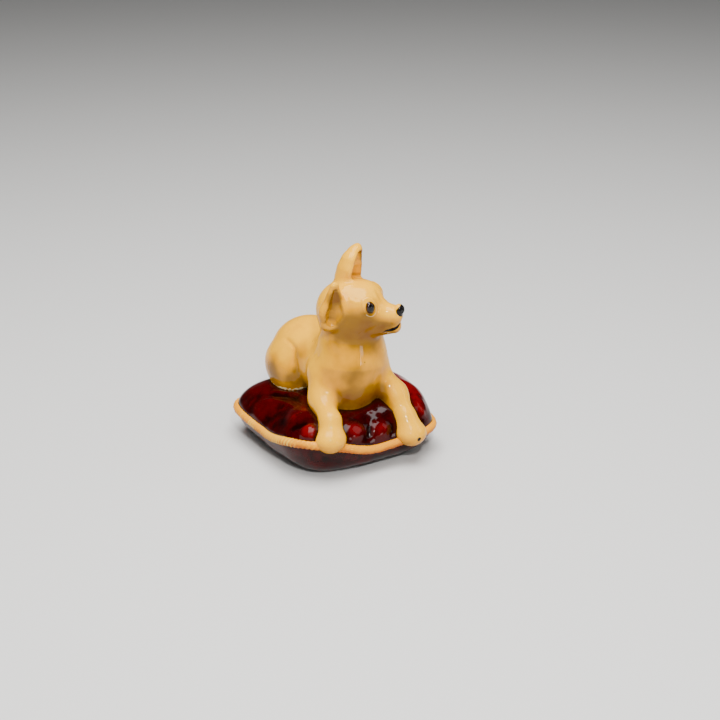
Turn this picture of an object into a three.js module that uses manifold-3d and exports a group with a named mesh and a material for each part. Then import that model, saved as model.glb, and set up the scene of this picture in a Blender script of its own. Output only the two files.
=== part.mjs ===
// A porcelain chihuahua lying on a piped cushion, cast as one figurine.
// Millimetres, +Z up. The origin is the middle of the flat underside, and the
// cushion's front edge, over which the forepaws hang, faces -Y.

import * as THREE from "three";
import { mergeVertices } from "three/addons/utils/BufferGeometryUtils.js";
import Module from "manifold-3d";

const wasm = await Module();
wasm.setup();

// Driving sizes of the cushion
const cushionWidth = 54.3; // seam to seam across the middle, along X
const cushionDepth = 54.8; // seam to seam from front to back, along Y
const seamHeight = 9.7; // the seam above the underside, halfway along the sides
const cornerLift = 3.4; // how far the corner that turns up most stands above that
const frontDip = 1.6; // how far the forelegs press the front seam down
const crownHeight = 11.8; // the crown of the cushion above the seam
const crownSlant = 2.5; // how much more it stands on the dog's left, and less on its right
const footing = 0.74; // the flat underside as a share of the seam's reach
const pipingDiameter = 2.9;

// Driving sizes of the dog
const dogHeight = 51.7; // seat to the tip of the higher ear
const sink = 1; // how far the seat lies below the crown of the cushion
const forelegDiameter = 6.8; // at the wrist
const pawWidth = 9.8;
const leftEarRim = 1.3; // how thick an ear is at its rim, beside its hollow
const rightEarRim = 1.8;
const headTurn = 40; // degrees that the head is turned to the dog's left
const headLift = 12; // degrees that the muzzle is raised
const headLean = 10; // degrees that the head leans to the dog's right

const seatHeight = seamHeight + crownHeight - sink;

// Vectors as plain arrays
const add = (a, b) => [a[0] + b[0], a[1] + b[1], a[2] + b[2]];
const sub = (a, b) => [a[0] - b[0], a[1] - b[1], a[2] - b[2]];
const times = (a, k) => [a[0] * k, a[1] * k, a[2] * k];
const clamp = (v, lo, hi) => Math.min(hi, Math.max(lo, v));
const mix = (a, b, t) => a + (b - a) * t;
const radians = THREE.MathUtils.degToRad;

// Joining and carving with an edge rounded over a width k
function softMin(a, b, k) {
  const h = Math.max(k - Math.abs(a - b), 0) / k;
  return Math.min(a, b) - (h * h * k) / 4;
}
const softMax = (a, b, k) => -softMin(-a, -b, k);

// Each form is a function of a point that gives about its distance from the form's surface.
// A limb runs from a to b and tapers from radius ra to rb.
function limb(a, b, ra, rb) {
  const along = sub(b, a);
  const lengthSq = along[0] ** 2 + along[1] ** 2 + along[2] ** 2;
  return (x, y, z) => {
    const px = x - a[0];
    const py = y - a[1];
    const pz = z - a[2];
    const t = clamp((px * along[0] + py * along[1] + pz * along[2]) / lengthSq, 0, 1);
    return Math.hypot(px - along[0] * t, py - along[1] * t, pz - along[2] * t) - mix(ra, rb, t);
  };
}

// A blade is a limb flattened along one direction, to a share of its width.
function blade(a, b, ra, rb, facing, share) {
  const round = limb(a, b, ra, rb);
  const n = new THREE.Vector3(...facing).normalize();
  return (x, y, z) => {
    const off = ((x - a[0]) * n.x + (y - a[1]) * n.y + (z - a[2]) * n.z) * (1 / share - 1);
    return round(x + n.x * off, y + n.y * off, z + n.z * off) * mix(share, 1, 0.3);
  };
}

// An egg is an ellipsoid with its own radii, turned by a quaternion.
function egg(centre, radii, turn = new THREE.Quaternion()) {
  const m = new THREE.Matrix4().makeRotationFromQuaternion(turn.clone().invert()).elements;
  return (x, y, z) => {
    const px = x - centre[0];
    const py = y - centre[1];
    const pz = z - centre[2];
    const qx = (m[0] * px + m[4] * py + m[8] * pz) / radii[0];
    const qy = (m[1] * px + m[5] * py + m[9] * pz) / radii[1];
    const qz = (m[2] * px + m[6] * py + m[10] * pz) / radii[2];
    const outer = Math.hypot(qx, qy, qz);
    const inner = Math.hypot(qx / radii[0], qy / radii[1], qz / radii[2]);
    return inner < 1e-9 ? -Math.min(...radii) : (outer * (outer - 1)) / inner;
  };
}

function skinGeometry(points, index) {
  const geometry = new THREE.BufferGeometry();
  geometry.setAttribute("position", new THREE.Float32BufferAttribute(points.flat(), 3));
  geometry.setIndex(index);
  return geometry;
}

// The cushion: a square. Each corner is squared off by its own power, and turns up by its own share of
// the corner lift.
const corners = {
  backLeft: { power: 4, lift: 0.9 },
  backRight: { power: 5.5, lift: 0.1 },
  frontRight: { power: 4.3, lift: 1 },
  frontLeft: { power: 4.4, lift: -0.15 },
};
const seamSteps = 64;

// The seam in one direction from the middle: how far out it lies and how high
function seamToward(angle) {
  const x = Math.cos(angle);
  const y = Math.sin(angle);
  const left = (1 + Math.tanh(4 * x)) / 2;
  const back = (1 + Math.tanh(4 * y)) / 2;
  const here = (what) =>
    back * mix(corners.backRight[what], corners.backLeft[what], left) +
    (1 - back) * mix(corners.frontRight[what], corners.frontLeft[what], left);
  const power = here("power");
  const across = Math.abs(x) / (cushionWidth / 2);
  const along = Math.abs(y) / (cushionDepth / 2);
  const radius = (across ** power + along ** power) ** (-1 / power);
  const corner = (2 * across * along) / (across ** 2 + along ** 2);
  const lift = cornerLift * here("lift") * corner ** 2 - frontDip * Math.max(-y, 0) * (1 - corner ** 2);
  return { radius, lift };
}

// A point level with the seam, out at a share of the way to it
function seamPoint(angle, out = 1) {
  const { radius, lift } = seamToward(angle);
  return [Math.cos(angle) * radius * out, Math.sin(angle) * radius * out, seamHeight + lift * out ** 2];
}

function crownPoint(angle, out) {
  const [x, y, seam] = seamPoint(angle, out);
  const crown = crownHeight + (crownSlant * x) / (cushionWidth / 2);
  return [x, y, seam + crown * Math.sqrt(1 - out ** 3.3)];
}

function bellyPoint(angle, out) {
  const [x, y, seam] = seamPoint(angle, out);
  const belly = seam / Math.sqrt(1 - footing ** 3);
  return [x, y, out > footing ? seam - belly * Math.sqrt(1 - out ** 3) : 0];
}

// A closed skin over rings of points, from a middle point above to a middle point below
function ringSkin(top, rings, bottom) {
  const points = [top, ...rings.flat(), bottom];
  const n = rings[0].length;
  const index = [];
  for (let i = 0; i < n; i++) {
    const j = (i + 1) % n;
    index.push(0, 1 + i, 1 + j);
    for (let r = 0; r < rings.length - 1; r++) {
      const a = 1 + r * n;
      index.push(a + i, a + n + i, a + n + j, a + i, a + n + j, a + j);
    }
    const last = 1 + (rings.length - 1) * n;
    index.push(last + i, points.length - 1, last + j);
  }
  return skinGeometry(points, index);
}

function cushionSkin() {
  const above = [0.16, 0.32, 0.48, 0.62, 0.74, 0.84, 0.915, 0.965, 0.992, 1];
  const below = [0.9, 0.63, 0.3, 0].map((t) => mix(footing, 1, t));
  const around = Array.from({ length: seamSteps }, (_, i) => (i * 2 * Math.PI) / seamSteps);
  const rings = [
    ...above.map((out) => around.map((angle) => crownPoint(angle, out))),
    ...below.map((out) => around.map((angle) => bellyPoint(angle, out))),
  ];
  return ringSkin(crownPoint(0, 0), rings, [0, 0, 0]);
}

// The piping: a round cord laid along the seam
function pipingSkin() {
  const sides = 8;
  const at = (i) => seamPoint((i * 2 * Math.PI) / seamSteps);
  const points = [];
  const index = [];
  for (let i = 0; i < seamSteps; i++) {
    const here = new THREE.Vector3(...at(i));
    const along = new THREE.Vector3(...at(i + 1)).sub(new THREE.Vector3(...at(i - 1))).normalize();
    const outward = along.clone().cross(new THREE.Vector3(0, 0, 1)).normalize();
    const up = outward.clone().cross(along);
    for (let k = 0; k < sides; k++) {
      const turn = (k * 2 * Math.PI) / sides;
      const p = here.clone();
      p.addScaledVector(outward, (Math.cos(turn) * pipingDiameter) / 2);
      p.addScaledVector(up, (Math.sin(turn) * pipingDiameter) / 2);
      points.push(p.toArray());
      const a = i * sides + k;
      const b = i * sides + ((k + 1) % sides);
      const step = (q) => (q + sides) % (sides * seamSteps);
      index.push(a, step(a), step(b), a, step(b), b);
    }
  }
  return skinGeometry(points, index);
}

// The dog's places and radii are in shares of its height, measured from the seat. The tip of the
// higher ear comes at 103.4 of them.
const seat = [0, 0, seatHeight];
const share = dogHeight / 103.4;
const upright = new THREE.Quaternion();
function turned(yaw, lift = 0, lean = 0) {
  const angles = new THREE.Euler(-radians(lift), -radians(lean), radians(yaw), "ZXY");
  return new THREE.Quaternion().setFromEuler(angles);
}

// A frame gives points and forms inside a part of the dog: x to its left, y backwards, z up.
function frameAt(origin, turn) {
  const at = (x, y, z) => {
    const v = new THREE.Vector3(x, y, z).multiplyScalar(share).applyQuaternion(turn);
    return add(origin, v.toArray());
  };
  const towards = (x, y, z) => new THREE.Vector3(x, y, z).applyQuaternion(turn).toArray();
  return {
    at,
    egg: (c, r) => egg(at(...c), times(r, share), turn),
    limb: (a, b, ra, rb) => limb(at(...a), at(...b), ra * share, rb * share),
    blade: (a, b, ra, rb, facing, flat) =>
      blade(at(...a), at(...b), ra * share, rb * share, towards(...facing), flat),
    within: (place, yaw, lift, lean) =>
      frameAt(at(...place), turn.clone().multiply(turned(yaw, lift, lean))),
  };
}
const body = frameAt(seat, upright);
const head = body.within([-5, -26, 63], headTurn, headLift, headLean);

// Forms are joined in turn, each with its own softness.
const join = (form, soft) => ({ form, soft });

function bodyForms() {
  return [
    join(body.egg([-5, 26, 16], [25, 26, 24]), 6),
    join(body.limb([-3, -6, 18], [-4, 18, 17], 23, 22), 8),
    join(body.blade([1, -23, 46], [-1, -23, 26], 18, 24, [-0.24, 1, 0], 0.82), 10),
    join(body.blade([-1, -23, 26], [-3, -22, 13], 24, 24, [-0.24, 1, 0], 0.78), 8),
    join(body.blade([-3, -22, 42], [-3, -25, 58], 18, 17, [-0.2, 1, 0], 0.9), 8),
    join(body.egg([-22.5, 25, 9], [12, 22, 18]), 3),
    join(body.egg([12.5, 24, 9], [12, 22, 18]), 3),
    join(body.limb([2, 46, 8], [23, 41, 6], 5.6, 5.4), 4),
    join(body.limb([23, 41, 6], [32, 24, 5], 5.4, 5), 3),
    join(body.limb([32, 24, 5], [31, 4, 4.5], 5, 3.4), 3),
  ];
}

// A foreleg runs from its shoulder and elbow to the wrist, which lies on the cushion's crown, and the
// paw, which hangs over the piping. Their places follow the cushion.
const raised = ([x, y, z], by) => [x, y, z + by];
function foreleg(shoulder, elbow, wrist, paw) {
  const [top, bend] = [body.at(...shoulder), body.at(...elbow)];
  const thick = forelegDiameter / 2;
  const toes = [pawWidth / 2, pawWidth * 0.41, pawWidth * 0.36];
  return [
    join(limb(top, bend, thick * 1.22, thick * 1.1), 7),
    join(limb(bend, wrist, thick * 1.1, thick), 5),
    join(limb(wrist, paw, thick, thick), 3),
    join(egg(paw, toes), 6),
  ];
}
const rightWrist = raised(crownPoint(radians(236.5), 0.86), 1.2);
const rightPaw = raised(seamPoint(radians(237), 0.96), 1.6);
const leftWrist = raised(crownPoint(radians(296), 0.91), -0.6);
const leftPaw = raised(seamPoint(radians(294), 1.02), 1.6);
const forelegs = [
  ...foreleg([-22, -20, 20], [-26, -27, 5], rightWrist, rightPaw),
  ...foreleg([15, -26, 16], [23, -38, 2], leftWrist, leftPaw),
];

// An ear is a pointed cup in its own frame. Its stations are [x, z, radius], from the root to the tip,
// and it is hollowed from its front at some of the heights between them.
function chain(frame, stations, forward, flat) {
  const forms = stations.slice(1).map(([x, z, r], i) => {
    const [fromX, fromZ, fromR] = stations[i];
    const low = [fromX, -forward * fromR, fromZ];
    return frame.blade(low, [x, -forward * r, z], fromR, r, [0, 1, 0], flat);
  });
  return (x, y, z) => Math.min(...forms.map((form) => form(x, y, z)));
}
function stationAt(stations, z) {
  const i = Math.max(1, stations.findIndex((station) => station[1] >= z));
  const [low, high] = [stations[i - 1], stations[i]];
  const t = (z - low[1]) / (high[1] - low[1]);
  return [mix(low[0], high[0], t), z, mix(low[2], high[2], t)];
}
function ear(frame, { stations, flat, rim, forward, hollowed }) {
  const shell = chain(frame, stations, 0, flat);
  const inner = hollowed.map((height) => {
    const [x, z, r] = stationAt(stations, height);
    return [x, z, Math.max(r - rim / share, 0.8)];
  });
  const hollow = chain(frame, inner, forward * flat, flat);
  return join((x, y, z) => softMax(shell(x, y, z), -hollow(x, y, z), 3.2 * share), 3);
}
const leftEar = head.within([11, 1, 6], -14, -20, -8);
const rightEar = head.within([-18, 6, -4], -50, -10, -14);
const leftEarShape = {
  stations: [
    [-3.8, 2, 8.6],
    [-3.8, 12, 8.7],
    [-3.2, 18, 8.2],
    [-1.9, 23.5, 6.9],
    [1.2, 28.8, 4.7],
    [3.3, 32.2, 2.4],
  ],
  flat: 1,
  rim: leftEarRim,
  forward: 1.1,
  hollowed: [6, 12, 18, 23.5, 27.5],
};
const rightEarShape = {
  stations: [[-2.5, 5, 6.5], [-0.6, 12, 9.1], [0, 30, 3]],
  flat: 0.7,
  rim: rightEarRim,
  forward: 0.97,
  hollowed: [8, 12, 27],
};

function headForms() {
  return [
    join(head.egg([0, 0, 0], [19, 21, 19]), 6),
    join(head.egg([0, -12, 4], [15, 11, 12]), 6),
    join(head.limb([0, -14, -5], [0, -28.6, -7.5], 10.5, 6.3), 5),
    join(head.limb([0, -6, -13], [0, -27.2, -15.8], 9, 4.5), 4),
    join(head.egg([0, -33.6, -4.2], [3.6, 3.4, 3.6]), 1),
    join(head.egg([-10, -17.6, 6.5], [4.5, 4.5, 4.5]), 1),
    join(head.egg([10, -17.6, 6.5], [4.5, 4.5, 4.5]), 1),
    ear(leftEar, leftEarShape),
    ear(rightEar, rightEarShape),
  ];
}

const dogForms = [...bodyForms(), ...forelegs, ...headForms()];
function theDog(x, y, z) {
  let d = Infinity;
  for (const { form, soft } of dogForms) {
    const next = form(x, y, z);
    d = d === Infinity ? next : softMin(d, next, soft * share);
  }
  return d;
}

// The dog's skin: a lattice of cells is laid through the form, finer near the head. Each sheet of the
// surface that crosses a cell gets one point there. The points are then evened out and set exactly on
// the surface.
const cell = dogHeight * 0.0474;
const lens = { centre: head.at(0, 0, 11), pull: dogHeight * 0.285, reach: dogHeight * 0.49 };

function lensed(x, y, z) {
  const [cx, cy, cz] = lens.centre;
  const r = Math.hypot(x - cx, y - cy, z - cz);
  const k = r < 1e-6 ? 1 - lens.pull / lens.reach : 1 - (lens.pull * Math.tanh(r / lens.reach)) / r;
  return [cx + (x - cx) * k, cy + (y - cy) * k, cz + (z - cz) * k];
}

function slope(f, x, y, z, e = 0.02) {
  return [
    (f(x + e, y, z) - f(x - e, y, z)) / (2 * e),
    (f(x, y + e, z) - f(x, y - e, z)) / (2 * e),
    (f(x, y, z + e) - f(x, y, z - e)) / (2 * e),
  ];
}

function settle(f, p, turns = 3) {
  for (let i = 0; i < turns; i++) {
    const g = slope(f, ...p);
    const gg = Math.max(g[0] ** 2 + g[1] ** 2 + g[2] ** 2, 1e-4);
    const step = clamp(f(...p) / gg, -0.6, 0.6);
    p = sub(p, times(g, step));
  }
  return p;
}

function skinOf(f) {
  const margin = pawWidth + lens.pull;
  const low = [
    Math.min(-dogHeight / 2, rightPaw[0]) - margin,
    Math.min(rightPaw[1], leftPaw[1]) - margin,
    Math.min(rightPaw[2], leftPaw[2]) - margin,
  ];
  const high = [
    Math.max(dogHeight / 2, leftPaw[0]) + margin,
    dogHeight * 0.6 + margin,
    seatHeight + dogHeight + margin,
  ];
  const count = low.map((v, i) => Math.ceil((high[i] - v) / cell) + 1);
  const [nx, ny, nz] = count;
  const id = (i, j, k) => (k * ny + j) * nx + i;
  const value = new Float64Array(nx * ny * nz);
  const where = new Array(nx * ny * nz);
  for (let k = 0; k < nz; k++)
    for (let j = 0; j < ny; j++)
      for (let i = 0; i < nx; i++) {
        const p = lensed(low[0] + i * cell, low[1] + j * cell, low[2] + k * cell);
        where[id(i, j, k)] = p;
        value[id(i, j, k)] = f(...p);
      }
  const stride = [1, nx, nx * ny];
  const corner = (c) => (c & 1) * stride[0] + ((c >> 1) & 1) * stride[1] + (c >> 2) * stride[2];
  const points = [];
  const pointAt = new Map();
  for (let k = 0; k < nz - 1; k++)
    for (let j = 0; j < ny - 1; j++)
      for (let i = 0; i < nx - 1; i++) {
        const base = id(i, j, k);
        for (const sheet of sheetsOf((c) => value[base + corner(c)] < 0)) {
          let sum = [0, 0, 0];
          for (const edge of sheet) {
            const a = base + corner(edge >> 2);
            const b = a + stride[edge & 3];
            const t = value[a] / (value[a] - value[b]);
            sum = add(sum, add(where[a], times(sub(where[b], where[a]), t)));
            pointAt.set(base * 32 + edge, points.length);
          }
          points.push(times(sum, 1 / sheet.length));
        }
      }
  const quads = [];
  for (let k = 1; k < nz - 1; k++)
    for (let j = 1; j < ny - 1; j++)
      for (let i = 1; i < nx - 1; i++) {
        const here = id(i, j, k);
        for (let axis = 0; axis < 3; axis++) {
          const inside = value[here] < 0;
          if (inside === value[here + stride[axis]] < 0) continue;
          const [u, v] = [(axis + 1) % 3, (axis + 2) % 3];
          const ring = [[1, 1], [0, 1], [0, 0], [1, 0]].map(([du, dv]) => {
            const cellBase = here - du * stride[u] - dv * stride[v];
            const start = (du << u) | (dv << v);
            return pointAt.get(cellBase * 32 + start * 4 + axis);
          });
          quads.push(inside ? ring : ring.reverse());
        }
      }
  return { points, quads };
}

// The crossed edges of one cell, grouped into the sheets of surface that cross it. A cell's corners are
// numbered by their x, y and z bits, and an edge by its lower corner times four plus its axis.
function sheetsOf(inside) {
  const edges = [];
  for (let c = 0; c < 8; c++)
    for (let axis = 0; axis < 3; axis++)
      if (!(c & (1 << axis)) && inside(c) !== inside(c | (1 << axis))) edges.push(c * 4 + axis);
  const leader = new Map(edges.map((e) => [e, e]));
  const lead = (e) => (leader.get(e) === e ? e : lead(leader.get(e)));
  for (let c = 0; c < 8; c++) {
    if (!inside(c)) continue;
    for (let axis = 0; axis < 3; axis++) {
      const [p, q] = [1 << ((axis + 1) % 3), 1 << ((axis + 2) % 3)];
      linkAround(c, p, q);
    }
  }
  const sheets = new Map();
  for (const e of edges) sheets.set(lead(e), [...(sheets.get(lead(e)) ?? []), e]);
  return [...sheets.values()];

  // On the face through an inside corner, the surface passes between the edges that it crosses there.
  function linkAround(c, p, q) {
    const edgeOf = (from, bit) => Math.min(from, from ^ bit) * 4 + Math.log2(bit);
    const crossed = (from, bit) => inside(from) !== inside(from ^ bit);
    const found = [];
    if (crossed(c, p)) found.push(edgeOf(c, p));
    if (crossed(c, q)) found.push(edgeOf(c, q));
    if (found.length === 1) {
      const next = crossed(c, p) ? c ^ q : c ^ p;
      const bit = crossed(c, p) ? p : q;
      if (crossed(next, bit)) found.push(edgeOf(next, bit));
      else found.push(edgeOf(next ^ bit, bit === p ? q : p));
    }
    if (found.length === 2) leader.set(lead(found[0]), lead(found[1]));
  }
}

function relax({ points, quads }, f, rounds) {
  for (let round = 0; round < rounds; round++) {
    const sums = points.map(() => [0, 0, 0, 0]);
    for (const q of quads)
      for (let c = 0; c < 4; c++) {
        const s = sums[q[c]];
        for (const other of [q[(c + 1) % 4], q[(c + 3) % 4]]) {
          s[0] += points[other][0];
          s[1] += points[other][1];
          s[2] += points[other][2];
          s[3]++;
        }
      }
    points.forEach((p, i) => {
      const s = sums[i];
      const mid = [s[0] / s[3], s[1] / s[3], s[2] / s[3]];
      points[i] = settle(f, add(p, times(sub(mid, p), 0.5)), 2);
    });
  }
}

function geometryOf({ points, quads }) {
  const far = (a, b) => Math.hypot(...sub(points[a], points[b]));
  const index = quads.flatMap(([a, b, c, d]) =>
    far(a, c) < far(b, d) ? [a, b, c, a, c, d] : [a, b, d, b, c, d],
  );
  return skinGeometry(points, index);
}

// Booleans
function solidOf(geometry) {
  const g = geometry.clone();
  g.deleteAttribute("normal");
  g.deleteAttribute("uv");
  const merged = mergeVertices(g, 1e-4);
  return new wasm.Manifold(
    new wasm.Mesh({
      numProp: 3,
      vertProperties: merged.attributes.position.array,
      triVerts: new Uint32Array(merged.index.array),
    }),
  );
}

function geometryFrom(solid) {
  const mesh = solid.getMesh();
  const geometry = new THREE.BufferGeometry();
  geometry.setAttribute("position", new THREE.Float32BufferAttribute(mesh.vertProperties, 3));
  geometry.setIndex(new THREE.Uint32BufferAttribute(mesh.triVerts, 1));
  geometry.computeVertexNormals();
  return geometry;
}

const skin = skinOf(theDog);
relax(skin, theDog, 6);
const cushion = solidOf(cushionSkin());
const piping = solidOf(pipingSkin());
const dog = solidOf(geometryOf(skin));
const solid = cushion.add(piping).add(dog);

const glaze = new THREE.MeshStandardMaterial({ color: 0xd9a34a, roughness: 0.15, metalness: 0 });
const group = new THREE.Group();
const mesh = new THREE.Mesh(geometryFrom(solid), glaze);
mesh.name = "chihuahua_on_cushion";
group.add(mesh);

export default group;
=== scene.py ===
# Porcelain chihuahua on a rope-edged cushion, dressed over its packed casting.
# Sizes are millimetres unless a note says otherwise. +X is the dog's left, -Y its front.
import math

import bpy
import numpy as np
from mathutils import Matrix, Vector, noise


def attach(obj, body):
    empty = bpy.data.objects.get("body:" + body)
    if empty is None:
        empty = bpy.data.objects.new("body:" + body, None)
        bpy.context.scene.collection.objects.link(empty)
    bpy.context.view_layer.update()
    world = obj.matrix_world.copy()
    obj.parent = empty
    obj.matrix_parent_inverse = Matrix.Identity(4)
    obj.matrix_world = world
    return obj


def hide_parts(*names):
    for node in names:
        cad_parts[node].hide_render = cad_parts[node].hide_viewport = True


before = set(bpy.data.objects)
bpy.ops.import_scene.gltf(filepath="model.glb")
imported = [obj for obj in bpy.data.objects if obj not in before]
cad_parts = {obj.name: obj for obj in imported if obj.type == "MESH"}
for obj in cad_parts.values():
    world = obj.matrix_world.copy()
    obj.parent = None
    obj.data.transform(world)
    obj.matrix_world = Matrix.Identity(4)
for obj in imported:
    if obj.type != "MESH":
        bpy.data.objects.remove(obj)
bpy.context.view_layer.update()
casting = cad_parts["chihuahua_on_cushion"]
mm = 0.001


# camera, floor and light
studio = {
    "azimuth": -31,  # degrees round from the front
    "elevation": 22,
    "distance": 550,
    "lens": 83.3,  # for a 36 mm sensor
    "aimAcross": 8.25,  # the aim point, to the right of the origin in the picture
    "aimUp": 29.2,
    "floorColour": (0.66, 0.65, 0.63, 1),
    "floorRoughness": 0.9,
    "floorSize": 6,  # metres
    "sweepFrom": 1400,  # where the floor starts to curve up behind the piece
    "sweepReach": 1200,
    "roomColour": (0.9, 0.92, 0.95, 1),
    "roomLight": 0.08,
}
softboxes = [
    # name, place, size and power
    ("top_softbox", (-60, -60, 560), (460, 460), 7.4),
    ("key_softbox", (-340, -420, 400), (560, 560), 1),
    ("side_softbox", (440, -260, 330), (300, 300), 0.5),
    ("left_lamp", (-190, -420, 380), (42, 42), 2),
    ("eye_light", (166, -436, 60), (80, 80), 0.2),
]


def deselectAll():
    if bpy.context.object and bpy.context.object.mode != "OBJECT":
        bpy.ops.object.mode_set(mode="OBJECT")
    bpy.ops.object.select_all(action="DESELECT")


def makeActive(piece):
    deselectAll()
    piece.select_set(True)
    bpy.context.view_layer.objects.active = piece


def addCamera():
    turn, rise = math.radians(studio["azimuth"]), math.radians(studio["elevation"])
    back = Vector((math.sin(turn) * math.cos(rise), -math.cos(turn) * math.cos(rise), math.sin(rise)))
    right = Vector((math.cos(turn), math.sin(turn), 0))
    aim = right * studio["aimAcross"] * mm + Vector((0, 0, studio["aimUp"] * mm))
    bpy.ops.object.camera_add(location=aim + back * studio["distance"] * mm)
    camera = bpy.context.object
    camera.rotation_mode = "QUATERNION"
    camera.rotation_quaternion = (-back).to_track_quat("-Z", "Y")
    camera.data.lens = studio["lens"]
    camera.data.sensor_width = 36
    camera.data.clip_start, camera.data.clip_end = 0.01, 20
    bpy.context.scene.camera = camera


def addSoftbox(name, place, size, power):
    bpy.ops.object.light_add(type="AREA", location=[v * mm for v in place])
    light = bpy.context.object
    light.name = name
    light.data.shape = "RECTANGLE"
    light.data.size, light.data.size_y = size[0] * mm, size[1] * mm
    light.data.energy = power
    light.rotation_euler = (Vector((0, 0, 30 * mm)) - light.location).to_track_quat("-Z", "Y").to_euler()


def addFloor():
    bpy.ops.mesh.primitive_grid_add(x_subdivisions=24, y_subdivisions=24, size=studio["floorSize"])
    floor = bpy.context.object
    floor.name = "studio_floor"
    points = readPoints(floor.data)
    sweep = np.clip(points[:, 1] - studio["sweepFrom"], 0, None)
    points[:, 2] += sweep**2 / studio["sweepReach"]
    writePoints(floor.data, points)
    bpy.ops.object.shade_smooth()
    paper = bpy.data.materials.new("pale_paper")
    paper.use_nodes = True
    shader = paper.node_tree.nodes["Principled BSDF"]
    shader.inputs["Base Color"].default_value = studio["floorColour"]
    shader.inputs["Roughness"].default_value = studio["floorRoughness"]
    floor.data.materials.append(paper)


def addRoomLight():
    world = bpy.data.worlds.new("soft_room")
    world.use_nodes = True
    background = world.node_tree.nodes["Background"]
    background.inputs["Color"].default_value = studio["roomColour"]
    background.inputs["Strength"].default_value = studio["roomLight"]
    bpy.context.scene.world = world


# points in and out of a mesh, in millimetres
def readPoints(mesh):
    points = np.empty(len(mesh.vertices) * 3)
    mesh.vertices.foreach_get("co", points)
    return points.reshape(-1, 3) / mm


def writePoints(mesh, points):
    mesh.vertices.foreach_set("co", (points * mm).ravel())
    mesh.update()


def giveValues(mesh, name, values):
    attribute = mesh.attributes.get(name) or mesh.attributes.new(name, "FLOAT", "POINT")
    attribute.data.foreach_set("value", np.asarray(values, np.float32))


# forms: each gives about the distance of points from its surface
def softMin(a, b, width):
    near = np.maximum(width - np.abs(a - b), 0) / width
    return np.minimum(a, b) - near * near * width / 4


def softMax(a, b, width):
    return -softMin(-a, -b, width)


def limb(a, b, ra, rb):
    along = b - a

    def depth(points):
        t = np.clip((points - a) @ along / (along @ along), 0, 1)
        off = points - a - t[:, None] * along
        return np.sqrt(np.einsum("ij,ij->i", off, off)) - (ra + (rb - ra) * t)

    return depth


def blade(a, b, ra, rb, facing, flat):
    full = limb(a, b, ra, rb)
    facing = facing / np.linalg.norm(facing)

    def depth(points):
        off = ((points - a) @ facing) * (1 / flat - 1)
        return full(points + off[:, None] * facing) * (flat + (1 - flat) * 0.3)

    return depth


def egg(centre, radii, turn):
    def depth(points):
        q = (points - centre) @ turn / radii
        outer = np.sqrt(np.einsum("ij,ij->i", q, q))
        q = q / radii
        inner = np.sqrt(np.einsum("ij,ij->i", q, q))
        return outer * (outer - 1) / np.maximum(inner, 1e-6)

    return depth


def turned(yaw, lift=0, lean=0):
    turn = (
        Matrix.Rotation(math.radians(yaw), 3, "Z")
        @ Matrix.Rotation(-math.radians(lift), 3, "X")
        @ Matrix.Rotation(-math.radians(lean), 3, "Y")
    )
    return np.array(turn)


class PartFrame:
    # places in a part of the dog, in units of a share of its height
    def __init__(self, origin, turn):
        self.origin, self.turn = np.array(origin, float), np.array(turn, float)

    def at(self, place):
        return self.origin + self.turn @ (np.array(place, float) * dog["unit"])

    def inside(self, points):
        return (points - self.origin) @ self.turn / dog["unit"]

    def egg(self, centre, radii):
        return egg(self.at(centre), np.array(radii, float) * dog["unit"], self.turn)

    def limb(self, a, b, ra, rb):
        return limb(self.at(a), self.at(b), ra * dog["unit"], rb * dog["unit"])

    def blade(self, a, b, ra, rb, facing, flat):
        facing = self.turn @ np.array(facing, float)
        return blade(self.at(a), self.at(b), ra * dog["unit"], rb * dog["unit"], facing, flat)

    def within(self, place, yaw, lift, lean):
        return PartFrame(self.at(place), self.turn @ turned(yaw, lift, lean))


# the cushion's seam, crown and belly, as in the casting
cushion = {
    "width": 54.3,
    "depth": 54.8,
    "seamHeight": 9.7,
    "cornerLift": 3.4,
    "frontDip": 1.6,
    "crown": 11.8,
    "crownSlant": 2.5,
    "footing": 0.74,  # flat underside, as a share of the seam's reach
    # how square each corner is, and its share of the lift
    "corners": {
        "backLeft": (4, 0.9),
        "backRight": (5.5, 0.1),
        "frontRight": (4.3, 1),
        "frontLeft": (4.4, -0.15),
    },
    "segments": 500,
    "rings": 170,
    "hills": 0.2,  # soft unevenness of the cloth
    "gathers": 0.12,  # folds that run in from the seam
}


def mixCorners(left, back, which):
    corners = cushion["corners"]
    behind = corners["backRight"][which] * (1 - left) + corners["backLeft"][which] * left
    before = corners["frontRight"][which] * (1 - left) + corners["frontLeft"][which] * left
    return back * behind + (1 - back) * before


def seamToward(angle):
    x, y = np.cos(angle), np.sin(angle)
    left, back = (1 + np.tanh(4 * x)) / 2, (1 + np.tanh(4 * y)) / 2
    power, share = mixCorners(left, back, 0), mixCorners(left, back, 1)
    across, along = np.abs(x) / (cushion["width"] / 2), np.abs(y) / (cushion["depth"] / 2)
    radius = (across**power + along**power) ** (-1 / power)
    corner = 2 * across * along / (across**2 + along**2)
    lift = cushion["cornerLift"] * share * corner**2
    lift = lift - cushion["frontDip"] * np.maximum(-y, 0) * (1 - corner**2)
    return radius, lift


def seamPoint(angle, out=1.0):
    radius, lift = seamToward(angle)
    height = cushion["seamHeight"] + lift * out**2
    return np.stack([np.cos(angle) * radius * out, np.sin(angle) * radius * out, height], -1)


def crownPoint(angle, out):
    place = seamPoint(angle, out)
    crown = cushion["crown"] + cushion["crownSlant"] * place[..., 0] / (cushion["width"] / 2)
    place[..., 2] += crown * np.sqrt(np.maximum(1 - out**3.3, 0))
    return place


def bellyPoint(angle, out):
    place = seamPoint(angle, out)
    belly = place[..., 2] / math.sqrt(1 - cushion["footing"] ** 3)
    low = place[..., 2] - belly * np.sqrt(np.maximum(1 - out**3, 0))
    place[..., 2] = np.where(out > cushion["footing"], low, 0)
    return place


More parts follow.
